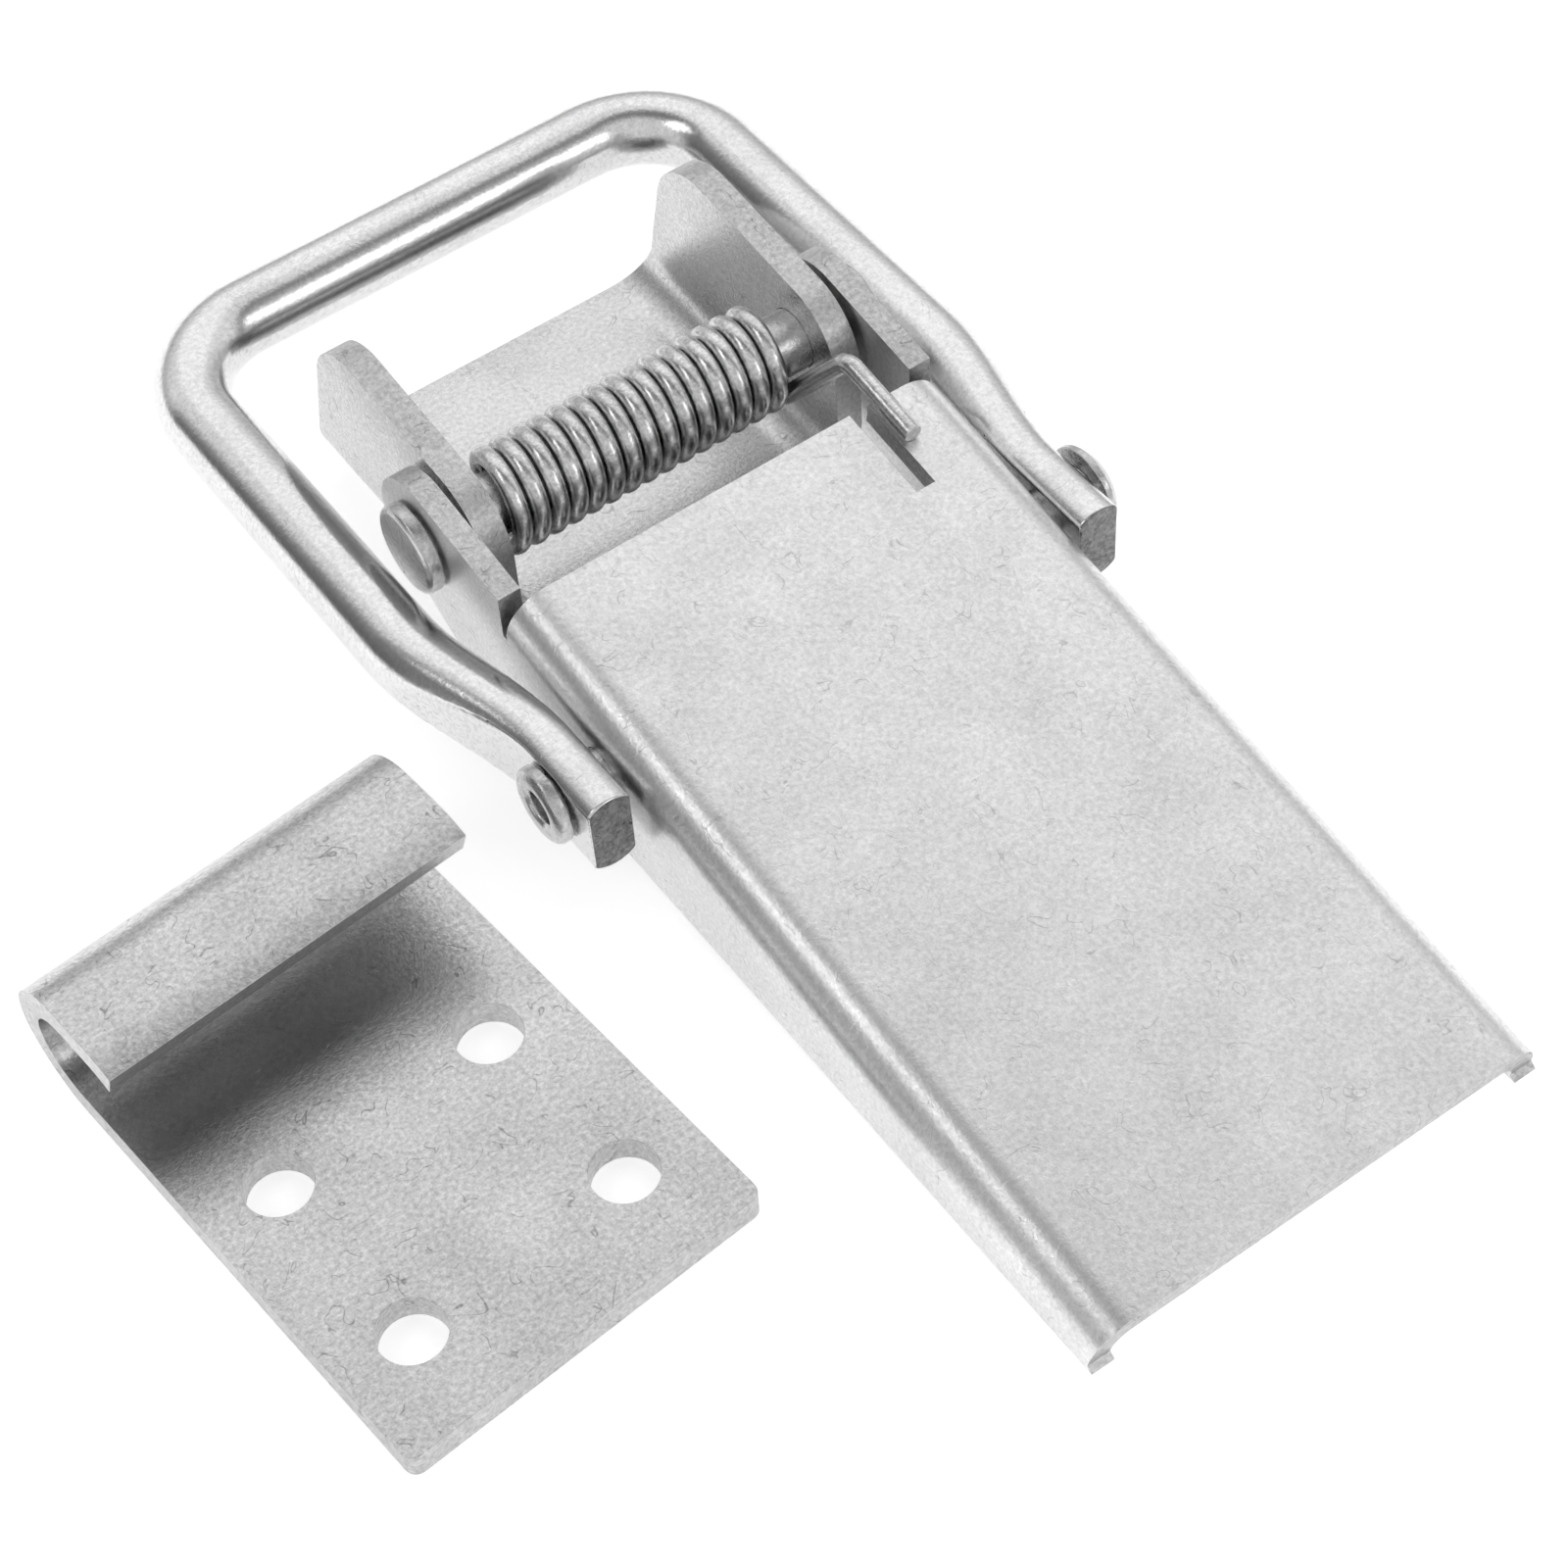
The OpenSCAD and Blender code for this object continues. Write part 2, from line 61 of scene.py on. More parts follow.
# %% Camera
MM = 0.001
AZIMUTH, ELEVATION, ROLL = (math.radians(a) for a in (-32.44, 52.77, -4.14))
TARGET = Vector((-8.28, 2.04, 0.0)) * MM
DISTANCE = 341.2 * MM
SENSOR_MM, LENS_MM, CLIP_START = 36.0, 82.2, 0.01

back = Vector((math.sin(AZIMUTH) * math.cos(ELEVATION), -math.cos(AZIMUTH) * math.cos(ELEVATION), math.sin(ELEVATION)))
right = Vector((math.cos(AZIMUTH), math.sin(AZIMUTH), 0.0))
up = back.cross(right)
right, up = (right * math.cos(ROLL) + up * math.sin(ROLL), up * math.cos(ROLL) - right * math.sin(ROLL))

camera = bpy.data.objects.new("camera", bpy.data.cameras.new("camera"))
scene.collection.objects.link(camera)
camera.data.sensor_width = SENSOR_MM
camera.data.lens = LENS_MM
camera.data.clip_start = CLIP_START
camera.matrix_world = Matrix.Translation(TARGET + back * DISTANCE) @ Matrix((right, up, back)).transposed().to_4x4()
scene.camera = camera
print("camera at", [round(c, 3) for c in camera.matrix_world.translation])

# %% [markdown]
# Colours are written as sRGB hex values, as a colour picker shows them, and one function turns them to the linear
# values that shaders use. Nodes could be added and linked by hand, with a line for every setting. One more function
# does that in one call, so that a finish reads from top to bottom.

# %% Colour and node helpers
def linear(hex_value):
    """The linear colour of an sRGB hex value such as "#C0C0C0"."""
    parts = [int(hex_value[i:i + 2], 16) / 255 for i in (1, 3, 5)]
    return [c / 12.92 if c <= 0.04045 else ((c + 0.055) / 1.055) ** 2.4 for c in parts] + [1.0]


def add(tree, kind, settings=None, **inputs):
    """Adds a node. An input is a value, a socket to link, or a node whose first output is linked; its name is the
    socket's name, or _0, _1 and so on for its number."""
    made = tree.nodes.new(kind)
    for name, value in (settings or {}).items():
        setattr(made, name, value)
    for name, value in inputs.items():
        socket = made.inputs[int(name[1:])] if name[1:].isdigit() else made.inputs[name.replace("_", " ")]
        source = value.outputs[0] if isinstance(value, bpy.types.Node) else value
        if isinstance(source, bpy.types.NodeSocket):
            tree.links.new(source, socket)
        else:
            socket.default_value = source
    return made


print("mid grey in linear light:", round(linear("#808080")[0], 3))

# %% [markdown]
# Bright zinc plating on steel is a metal with a pale, slightly cloudy grey. Its crystals show as a speckle of about
# half a millimetre with finer grains in it, and tumbling in the plating barrel leaves short curly marks. The marks
# could be modelled one by one, but there are hundreds, so two noises draw them: a mark is a thin contour line of the
# first noise, and the second one cuts the line into short strokes. Speckle and marks change colour, roughness and
# height together, as they do on real plating.

# %% Zinc plating
SPECKLE_MM, CLOUD_MM, MARK_MM, STROKE_MM = 0.5, 9.0, 2.8, 3.08
SPECKLE_RANGE, CLOUD_RANGE = (0.34, 0.66), (0.3, 0.7)   # the part of each noise that is stretched to 0 to 1
LINE_CORE, LINE_EDGE = 0.003, 0.013          # how far from the noise's middle value a mark is full, and has faded out
STROKE_FROM, STROKE_FULL = 0.53, 0.59        # values of the second noise from which a mark shows, and shows fully
SPECKLE_SHARE, CLOUD_SHARE = 0.72, 0.28
DULLER, SHINIER = 0.06, 0.04                 # how much rougher the deep grey is, and smoother the pale grey


def zinc_plating(name, pale, deep, roughness, relief=0.012, marks=0.55):
    """A zinc finish: two greys, a roughness, the relief's height in millimetres, and how dark the marks are."""
    material = bpy.data.materials.new(name)
    material.use_nodes = True
    tree = material.node_tree
    tree.nodes.clear()
    place = add(tree, "ShaderNodeTexCoord").outputs["Object"]
    grains = add(tree, "ShaderNodeTexNoise", Vector=place, Scale=1 / (SPECKLE_MM * MM), Detail=4.0, Roughness=0.75)
    speckle = add(tree, "ShaderNodeMapRange", _0=grains, _1=SPECKLE_RANGE[0], _2=SPECKLE_RANGE[1])
    clouds = add(tree, "ShaderNodeTexNoise", Vector=place, Scale=1 / (CLOUD_MM * MM), Detail=3.0)
    cloud = add(tree, "ShaderNodeMapRange", _0=clouds, _1=CLOUD_RANGE[0], _2=CLOUD_RANGE[1])

    contours = add(tree, "ShaderNodeTexNoise", Vector=place, Scale=1 / (MARK_MM * MM), Detail=1.0, Distortion=0.8)
    from_middle = add(tree, "ShaderNodeMath", {"operation": "SUBTRACT"}, _0=contours, _1=0.5)
    off_line = add(tree, "ShaderNodeMath", {"operation": "ABSOLUTE"}, _0=from_middle)
    line = add(tree, "ShaderNodeMapRange", _0=off_line, _1=LINE_CORE, _2=LINE_EDGE, _3=1.0, _4=0.0)
    cuts = add(tree, "ShaderNodeTexNoise", Vector=place, Scale=1 / (STROKE_MM * MM), Detail=1.0)
    shows = add(tree, "ShaderNodeMapRange", _0=cuts, _1=STROKE_FROM, _2=STROKE_FULL)
    stroke = add(tree, "ShaderNodeMath", {"operation": "MULTIPLY"}, _0=line, _1=shows)
    mark = add(tree, "ShaderNodeMath", {"operation": "MULTIPLY"}, _0=stroke, _1=marks)

    haze = add(tree, "ShaderNodeMath", {"operation": "MULTIPLY"}, _0=cloud, _1=CLOUD_SHARE)
    unmarked = add(tree, "ShaderNodeMath", {"operation": "MULTIPLY_ADD"}, _0=speckle, _1=SPECKLE_SHARE, _2=haze)
    tone = add(tree, "ShaderNodeMath", {"operation": "SUBTRACT"}, _0=unmarked, _1=mark)
    colour = add(tree, "ShaderNodeMix", {"data_type": "RGBA", "clamp_factor": False},
                 _0=tone, _6=linear(deep), _7=linear(pale))
    gloss = add(tree, "ShaderNodeMapRange", _0=tone, _1=0.0, _2=1.0, _3=roughness + DULLER, _4=roughness - SHINIER)
    height = add(tree, "ShaderNodeMath", {"operation": "SUBTRACT"}, _0=speckle, _1=mark)
    bump = add(tree, "ShaderNodeBump", Strength=1.0, Distance=relief * MM, Height=height)
    shader = add(tree, "ShaderNodeBsdfPrincipled", Base_Color=colour.outputs[2], Metallic=1.0, Roughness=gloss,
                 Normal=bump)
    add(tree, "ShaderNodeOutputMaterial", Surface=shader)
    print("finish:", name)
    return material


# %% [markdown]
# All pieces were plated in the same bath, but the plating follows the steel under it. Pressed sheet comes out satin,
# so a flat face shows the room as one soft tone. Drawn rod and wire are smoother and show bright and dark bands. Cut
# and sheared edges are rougher and darker. One finish with other numbers for each gives that, and keeps them related.

# %% Finishes
lever_zinc = zinc_plating("satin_zinc_lever", "#F0F0F0", "#CACACA", 0.30)
base_zinc = zinc_plating("satin_zinc_base", "#E4E4E4", "#BCBCBC", 0.26)
bail_zinc = zinc_plating("glossy_zinc_rod", "#EEEEEE", "#C8C8C8", 0.15, relief=0.006, marks=0.4)
keeper_zinc = zinc_plating("dull_zinc_keeper", "#DEDEDE", "#A0A0A0", 0.19, marks=0.6)
pin_zinc = zinc_plating("zinc_pins", "#D6D6D6", "#A8A8A8", 0.24)
cut_edge = zinc_plating("zinc_on_cut_edge", "#DADADA", "#A2A2A2", 0.34, relief=0.025)
sheared_end = zinc_plating("sheared_end", "#A8A8A8", "#5E5E5E", 0.55, relief=0.08)
spring_wire = zinc_plating("drawn_spring_wire", "#EAEAEA", "#ACACAC", 0.16, marks=0.4)

# %% [markdown]
# Sheet-metal pieces start as flat outlines of lines and arcs. Their corners could be worked out and typed in, but a
# pen is nearer to a drawing: a vertex is extruded for a straight line and spun for an arc. Everything is drawn in
# millimetres.

# %% Pen
class Pen:
    """Draws a chain of edges in a plane of Y and Z (at a given X), or of X and Y (at a given Z)."""

    def __init__(self, bm, plane, level, start):
        self.bm, self.plane, self.level = bm, plane, level
        self.first = self.last = bm.verts.new(self.point(start))

    def point(self, p):
        return Vector((self.level, p[0], p[1])) if self.plane == "YZ" else Vector((p[0], p[1], self.level))

    def line(self, *points):
        for p in points:
            grown = bmesh.ops.extrude_vert_indiv(self.bm, verts=[self.last])
            self.last = grown["verts"][0]
            self.last.co = self.point(p)

    def arc(self, centre, degrees, steps):
        axis = Vector((1, 0, 0)) if self.plane == "YZ" else Vector((0, 0, 1))
        turned = bmesh.ops.spin(self.bm, geom=[self.last], cent=self.point(centre), axis=axis,
                                angle=math.radians(degrees), steps=steps)
        self.last = [v for v in turned["geom_last"] if isinstance(v, bmesh.types.BMVert)][0]

    def close(self):
        """Joins the last point to the first and returns that edge."""
        return self.bm.edges.new((self.last, self.first))


print("pen draws lines and arcs in millimetres")

# %% [markdown]
# A bend is an edge that is spun, and a flat part is an edge that is pushed along: both leave faces behind them. A hole
# is a circle of edges that the filling of the outline leaves open, so no Boolean is needed and the mesh stays clean.

# %% Holes, bends and flats
MERGE = 1e-4                                 # points closer than this, in millimetres, are one point
HOLE_STEPS = 40


def ends_of(edges):
    """The vertices of some edges, each once and in order."""
    return list(dict.fromkeys(v for e in edges for v in e.verts))


def ring_of_edges(bm, matrix, radius, segments=HOLE_STEPS):
    """A circle of edges, for a hole or a rod's section."""
    made = bmesh.ops.create_circle(bm, segments=segments, radius=radius, matrix=matrix)
    return made["verts"], list(dict.fromkeys(e for v in made["verts"] for e in v.link_edges))


def swept(bm, edges, cent, axis, degrees, steps):
    """Spins edges into faces and returns the last edges."""
    turned = bmesh.ops.spin(bm, geom=list(edges) + ends_of(edges), cent=cent, axis=axis, angle=math.radians(degrees),
                            steps=steps)
    return [e for e in turned["geom_last"] if isinstance(e, bmesh.types.BMEdge)]


def pushed(bm, edges, vec):
    """Extrudes edges by a vector and returns the new edges."""
    grown = bmesh.ops.extrude_edge_only(bm, edges=list(edges))["geom"]
    new = [v for v in grown if isinstance(v, bmesh.types.BMVert)]
    bmesh.ops.translate(bm, verts=new, vec=vec)
    return [e for e in grown if isinstance(e, bmesh.types.BMEdge) and e.verts[0] in new and e.verts[1] in new]


def mirrored(bm):
    """Adds the left half to a drawing of the right half."""
    bmesh.ops.mirror(bm, geom=bm.verts[:] + bm.edges[:] + bm.faces[:], axis="X", merge_dist=MERGE)


print("holes have", HOLE_STEPS, "sides")

# %% [markdown]
# Most pieces are drawn round the pivot pin, because they turn on it or stand round it. When a drawing is done it is
# moved to its place and scaled to metres, so that the object itself stays at the origin. The sheet's thickness and the
# soft edges could be modelled too. As modifiers they are one number each, and a Solidify modifier also gives the rim,
# where the sheet was cut or punched, a finish of its own.

# %% Pieces in their place
PIVOT, RIVET = Vector((0.0, 37.0, 15.0)), Vector((0.0, 6.7, 10.6))
SHEET_EDGE = 0.4


def piece(bm, name, material, at=PIVOT, sheet=0.0, edge=SHEET_EDGE, sharp=40):
    """Puts a drawing in its place, in metres, with a sheet's thickness, a finish on the cut rim and soft edges."""
    bmesh.ops.translate(bm, verts=bm.verts, vec=at)
    bmesh.ops.scale(bm, verts=bm.verts, vec=(MM, MM, MM))
    mesh = bpy.data.meshes.new(name)
    bm.to_mesh(mesh)
    bm.free()
    mesh.shade_smooth()
    made = bpy.data.objects.new(name, mesh)
    scene.collection.objects.link(made)
    mesh.materials.append(material)
    if sheet:
        wall = made.modifiers.new("sheet", "SOLIDIFY")
        wall.thickness, wall.offset, wall.use_even_offset, wall.use_quality_normals = sheet * MM, -1.0, True, True
        mesh.materials.append(cut_edge)
        wall.material_offset_rim = 1
    soft = made.modifiers.new("soft_edges", "BEVEL")
    soft.width, soft.segments, soft.limit_method = edge * MM, 3, "ANGLE"
    soft.angle_limit, soft.harden_normals = math.radians(sharp), True
    print(name, len(mesh.vertices), "vertices")
    return made


def seat(made, body, node):
    """Lets a piece ride on a body in place of its CAD node."""
    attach(made, body)
    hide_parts(node)


print("pivot and rivets at", [[round(c, 1) for c in spot] for spot in (PIVOT, RIVET)])

# %% [markdown]
# The lever is one pressed sheet with a flange on each side. The flange runs out into an arm that reaches the pin. The
# whole could be cut from a block, but drawing it as the press makes it keeps one thickness all over. So the right side
# is drawn flat first: the arm's round end, the heel's rounding, the long lower edge and the holes for pin and rivet.

# %% Lever: the side
LEVER_W, LEVER_T, LEVER_R = 50.0, 2.5, 4.5
SLOPE = math.radians(8.3)
TAIL_END = -102.5
# The plate's end leans back over the side's end by the bend, so the side ends a little sooner.
FRONT, TAIL, RISE = -15.0, TAIL_END + LEVER_R * math.sin(SLOPE), 5.0
ARM_R, RELIEF, HEEL_R = 7.0, 0.6, 8.0
HEEL, TAIL_LOW = Vector((-10.0, -14.5)), Vector((TAIL_END, -12.8))
PIN_HOLE_R, RIVET_HOLE_R, SCREW_HOLE_R = 3.3, 2.55, 3.25


def plate_top(y):
    """Height of the plate's upper face."""
    return RISE + (y - FRONT) * math.tan(SLOPE)


def bend_low(y):
    """Height at which the side ends and the bend to the plate begins."""
    return plate_top(y) - LEVER_R / math.cos(SLOPE)


def touching(p, r, side):
    """Angle on a circle round the pivot where a line from p touches it."""
    return math.atan2(p[1], p[0]) + side * math.acos(r / math.hypot(*p))


def on_circle(r, a):
    """The point of a circle round the pivot at an angle."""
    return (r * math.cos(a), r * math.sin(a))


bm = bmesh.new()
arm_rear = (FRONT + RELIEF, RISE)
upper = touching(arm_rear, ARM_R, -1)
lower = touching(HEEL, ARM_R, 1)
# The heel's rounding touches the arm's front line and the flange's lower line.
to_front = (Vector(on_circle(ARM_R, lower)) - HEEL).normalized()
to_tail = (TAIL_LOW - HEEL).normalized()
half = math.acos(to_front.dot(to_tail)) / 2
heel_centre = HEEL + (to_front + to_tail).normalized() * HEEL_R / math.sin(half)
heel_start = HEEL + to_front * HEEL_R / math.tan(half)
pen = Pen(bm, "YZ", LEVER_W / 2, (FRONT, bend_low(FRONT)))
pen.line((FRONT, bend_low(FRONT) - RELIEF), (FRONT + RELIEF, bend_low(FRONT) - RELIEF), arm_rear,
         on_circle(ARM_R, upper))
pen.arc((0, 0), math.degrees((lower - upper) % (2 * math.pi)) - 360, steps=28)
pen.line(heel_start)
pen.arc(heel_centre, -(180 - math.degrees(2 * half)), steps=10)
pen.line(TAIL_LOW, (TAIL, bend_low(TAIL)))
top_edge = pen.close()
outline = list(bm.edges)
sideways = Matrix.Rotation(math.radians(90), 4, "Y")
for centre, r in ((Vector(), PIN_HOLE_R), (RIVET - PIVOT, RIVET_HOLE_R)):
    spot = centre + Vector((LEVER_W / 2, 0, 0))
    outline += ring_of_edges(bm, Matrix.Translation(spot) @ sideways, r)[1]
bmesh.ops.triangle_fill(bm, edges=outline, use_beauty=True)
print("lever's side:", len(outline), "edges")

# %% [markdown]
# The side's upper edge is spun a quarter turn into the bend and pushed to the middle as half of the plate. A mirror
# gives the other half, so both sides are the same.

# %% Lever: the bend and the plate
along = Vector((0, math.cos(SLOPE), math.sin(SLOPE)))
inner = swept(bm, [top_edge], Vector((LEVER_W / 2 - LEVER_R, FRONT, bend_low(FRONT))), along, -90, steps=12)
pushed(bm, inner, Vector((-(LEVER_W / 2 - LEVER_R), 0, 0)))
mirrored(bm)
bmesh.ops.remove_doubles(bm, verts=bm.verts, dist=MERGE)
print("lever's sheet:", len(bm.faces), "faces")

# %% [markdown]
# The plate has a slot at its front edge on the right, beside the spring's leg. Three cuts across the right half of the
# plate outline it, and the face between them goes. The sheet then gets its thickness inwards.

# %% Lever: the slot
SLOT_X, SLOT_W, SLOT_L = 15.5, 2.2, 11.4


def plate_faces(bm):
    """The flat faces of the plate's right half."""
    return [f for f in bm.faces if abs(f.normal.z) > 0.95 and 0 < f.calc_center_median().x < LEVER_W / 2 - LEVER_R]


bm.normal_update()
for co, no in (((SLOT_X - SLOT_W / 2, 0, 0), (1, 0, 0)), ((SLOT_X + SLOT_W / 2, 0, 0), (1, 0, 0)),
               (Vector((0, FRONT, RISE)) - along * SLOT_L, along)):
    faces = plate_faces(bm)
    edges = list(dict.fromkeys(e for f in faces for e in f.edges))
    bmesh.ops.bisect_plane(bm, geom=faces + edges + ends_of(edges), plane_co=co, plane_no=no)
    bm.normal_update()
gone = [f for f in plate_faces(bm) if abs(f.calc_center_median().x - SLOT_X) < SLOT_W / 2
        and f.calc_center_median().y > FRONT - SLOT_L]
bmesh.ops.delete(bm, geom=gone, context="FACES")
bmesh.ops.recalc_face_normals(bm, faces=bm.faces)
if sum(f.normal.z * f.calc_area() for f in bm.faces) < 0:
    bmesh.ops.reverse_faces(bm, faces=bm.faces)
lever = piece(bm, "lever_sheet", lever_zinc, sheet=LEVER_T)
seat(lever, "lever", "lever")

# %% [markdown]
# The base is one folded sheet as well: a floor with two upright ears that carry the pin. One ear is drawn flat with
# its pin hole and its leaning front edge, its lower edge is spun into the bend, and the ear is mirrored.

# %% Base: the ears
BASE_W, BASE_T, BASE_R = 43.8, 3.0, 7.2
BASE_FRONT, EAR_LEAN, EAR_H, EAR_R, EAR_CORNER = 27.8, 5.6, 24.17, 7.0, 8.0
GROUND = -PIVOT.z


def front_edge(z):
    """How far forward the ears' leaning front edge is, at a height."""
    return BASE_FRONT - EAR_LEAN * (z - GROUND) / EAR_H


bm = bmesh.new()
corner = Vector((BASE_FRONT - EAR_LEAN, EAR_H + GROUND))
rear = touching(corner, EAR_R, 1)
down = (Vector((BASE_FRONT, GROUND)) - corner).normalized()
rearwards = (Vector(on_circle(EAR_R, rear)) - corner).normalized()
half = math.acos(down.dot(rearwards)) / 2
round_centre = corner + (down + rearwards).normalized() * EAR_CORNER / math.sin(half)
round_start = corner + down * EAR_CORNER / math.tan(half)
bend_z = GROUND + BASE_R
pen = Pen(bm, "YZ", BASE_W / 2, (-EAR_R, bend_z))
pen.line((front_edge(bend_z), bend_z), round_start)
pen.arc(round_centre, 180 - math.degrees(2 * half), steps=16)
pen.line(on_circle(EAR_R, rear))
pen.arc((0, 0), 180 - math.degrees(rear), steps=16)
pen.close()
low_edge = [e for e in bm.edges if all(abs(v.co.z - bend_z) < MERGE for v in e.verts)][0]
outline = list(bm.edges) + ring_of_edges(bm, Matrix.Translation((BASE_W / 2, 0, 0)) @ sideways, PIN_HOLE_R)[1]
bmesh.ops.triangle_fill(bm, edges=outline, use_beauty=True)
swept(bm, [low_edge], Vector((BASE_W / 2 - BASE_R, 0, bend_z)), Vector((0, 1, 0)), 90, steps=14)
for v in bm.verts:
    if v.co.z < bend_z - MERGE and v.co.y > 0:
        v.co.y = front_edge(v.co.z)
mirrored(bm)
print("base's ears:", len(bm.faces), "faces")

# %% [markdown]
# The floor narrows to a neck behind the ears, with a notch at the end of each bend, and widens again to the rear part
# with its four screw holes. The pen goes round it once, and the points that it shares with the bends are merged, so
# that floor and ears are one sheet.

# %% Base: the floor
BASE_REAR, BASE_CORNER, NOTCH, NECK_IN = -63.0, 6.0, 1.0, 0.4
BASE_SCREWS = [(x, y) for x in (-11.0, 11.0) for y in (-20.0, -54.0)]
flat_x, strip_x = BASE_W / 2 - BASE_R, BASE_W / 2 - BASE_T
neck_x, wide_y = flat_x - NECK_IN, -EAR_R - NOTCH
round_x, round_y = strip_x - BASE_CORNER, wide_y - BASE_CORNER
neck_turn = math.degrees(math.acos((neck_x - round_x) / BASE_CORNER))
neck_y = round_y + BASE_CORNER * math.sin(math.radians(neck_turn))
before = set(bm.edges)
pen = Pen(bm, "XY", GROUND, (flat_x, BASE_FRONT))
pen.line((-flat_x, BASE_FRONT), (-flat_x, -EAR_R), (-neck_x, -EAR_R), (-neck_x, neck_y))
pen.arc((-round_x, round_y), neck_turn, steps=10)
pen.line((-strip_x, BASE_REAR + BASE_CORNER))
pen.arc((-round_x, BASE_REAR + BASE_CORNER), 90, steps=10)
pen.line((round_x, BASE_REAR))
pen.arc((round_x, BASE_REAR + BASE_CORNER), 90, steps=10)
pen.line((strip_x, round_y))
pen.arc((round_x, round_y), neck_turn, steps=10)
pen.line((neck_x, -EAR_R), (flat_x, -EAR_R))
pen.close()
for x, y in BASE_SCREWS:
    ring_of_edges(bm, Matrix.Translation((x, y, GROUND)), SCREW_HOLE_R)
bmesh.ops.triangle_fill(bm, edges=[e for e in bm.edges if e not in before], use_beauty=True)
bmesh.ops.remove_doubles(bm, verts=bm.verts, dist=10 * MERGE)
bmesh.ops.recalc_face_normals(bm, faces=bm.faces)
if sum(f.normal.z * f.calc_area() for f in bm.faces) > 0:
    bmesh.ops.reverse_faces(bm, faces=bm.faces)
base = piece(bm, "base_sheet", base_zinc, sheet=BASE_T)
seat(base, "base", "base")

# %% [markdown]
# The pin is cold-headed wire with a flat round head outside each arm. A cylinder with two more for the heads would
# leave seams inside, so it is one profile, from axis to axis, that is spun once round.

# %% Pin
PIN_R, PIN_GAP, HEAD_R, HEAD_H = 3.25, 0.3, 4.7, 1.7
HEAD_X = LEVER_W / 2 + PIN_GAP


def lathe(name, profile, at=PIVOT, flip=1):
    """Spins a profile of (along X, radius) points about the X axis."""
    bm = bmesh.new()
    pen = Pen(bm, "XY", 0.0, (profile[0][0] * flip, profile[0][1]))
    pen.line(*((x * flip, r) for x, r in profile[1:]))
    bmesh.ops.spin(bm, geom=bm.verts[:] + bm.edges[:], cent=(0, 0, 0), axis=(1, 0, 0), angle=2 * math.pi, steps=64,
                   use_merge=True)
    bmesh.ops.remove_doubles(bm, verts=bm.verts, dist=MERGE)
    bmesh.ops.recalc_face_normals(bm, faces=bm.faces)
    return piece(bm, name, pin_zinc, at, edge=0.15, sharp=30)


half_pin = [(HEAD_X, PIN_R), (HEAD_X, HEAD_R), (HEAD_X + HEAD_H - 0.5, HEAD_R), (HEAD_X + HEAD_H - 0.25, HEAD_R - 0.1),
            (HEAD_X + HEAD_H, HEAD_R - 0.5), (HEAD_X + HEAD_H, 0)]
pin = lathe("pivot_pin_turned", [(-x, r) for x, r in reversed(half_pin)] + half_pin)
seat(pin, "base", "pivot_pin")

# %% [markdown]
# Two rivets carry the bail. Both have the same flat head inside the lever, and the outer ends differ: the left one is
# hollow and rolled over, the right one has a dome. They are spun like the pin, and the left one is flipped.

# %% Rivets
SHANK_R, HOLLOW_R, HOLLOW_DEEP = 2.5, 1.7, 1.5
BAIL_GAP, FLAT_T, RIVET_PLAY = 0.9, 4.6, 0.3
OUT_X = LEVER_W / 2 + BAIL_GAP + FLAT_T + RIVET_PLAY
IN_X = LEVER_W / 2 - LEVER_T - 0.05
INNER_R, INNER_H = 4.0, 1.1
ROLLED_R = 4.0
ROLLED_RIM = ((0.8, 4.0), (1.2, 3.8), (1.45, 3.3), (1.5, 2.7), (1.4, 2.1), (1.1, 1.75), (0.6, 1.7))  # outwards, radius
DOME_OUT, DOME_EDGE, DOME_R, DOME_H = 0.5, 0.7, 4.6, 1.9


def dome(x, rim, height, steps=10):
    """Profile points of a ball's cap from its rim to the axis."""
    ball = (rim * rim + height * height) / (2 * height)
    widest = math.asin(rim / ball)
    turns = [widest * (1 - i / steps) for i in range(steps + 1)]
    return [(x + height - ball + ball * math.cos(a), ball * math.sin(a)) for a in turns]


inner_head = [(IN_X - INNER_H, 0), (IN_X - INNER_H, INNER_R - 0.5), (IN_X - INNER_H + 0.2, INNER_R - 0.15),
              (IN_X - INNER_H + 0.5, INNER_R), (IN_X, INNER_R), (IN_X, SHANK_R)]
rolled = [(OUT_X, SHANK_R), (OUT_X, ROLLED_R)] + [(OUT_X + x, r) for x, r in ROLLED_RIM]
rolled += [(OUT_X - HOLLOW_DEEP, HOLLOW_R), (OUT_X - HOLLOW_DEEP, 0)]
domed = [(OUT_X + DOME_OUT, SHANK_R), (OUT_X + DOME_OUT, DOME_R)] + dome(OUT_X + DOME_OUT + DOME_EDGE, DOME_R, DOME_H)
for side, flip, head in (("left", -1, rolled), ("right", 1, domed)):
    rivet = lathe("rivet_%s_headed" % side, inner_head + head, at=RIVET, flip=flip)
    seat(rivet, "lever", "bail_rivet_" + side)

# %% [markdown]
# The torsion spring is one drawn wire. A Screw modifier would wind the coil, but not its legs. So a circle is spun many
# times round the pin with a step sideways at each turn, which gives the close coil.

# %% Spring: the coil
EAR_INNER = BASE_W / 2 - BASE_T
WIRE_R, COIL_R, PITCH, COIL_GAP, WIRE_GAP = 1.0, 4.6, 2.15, 1.2, 0.05
COIL_LEFT = -EAR_INNER + COIL_GAP + WIRE_R
STEPS_PER_TURN, FULL_TURNS, WIRE_SIDES = 32, 15, 16
KNEE_Y, LEG_TIP_Y = -11.1, FRONT - 6.5


def around(a):
    """A unit vector at an angle round the pin."""
    return Vector((0, math.cos(a), math.sin(a)))


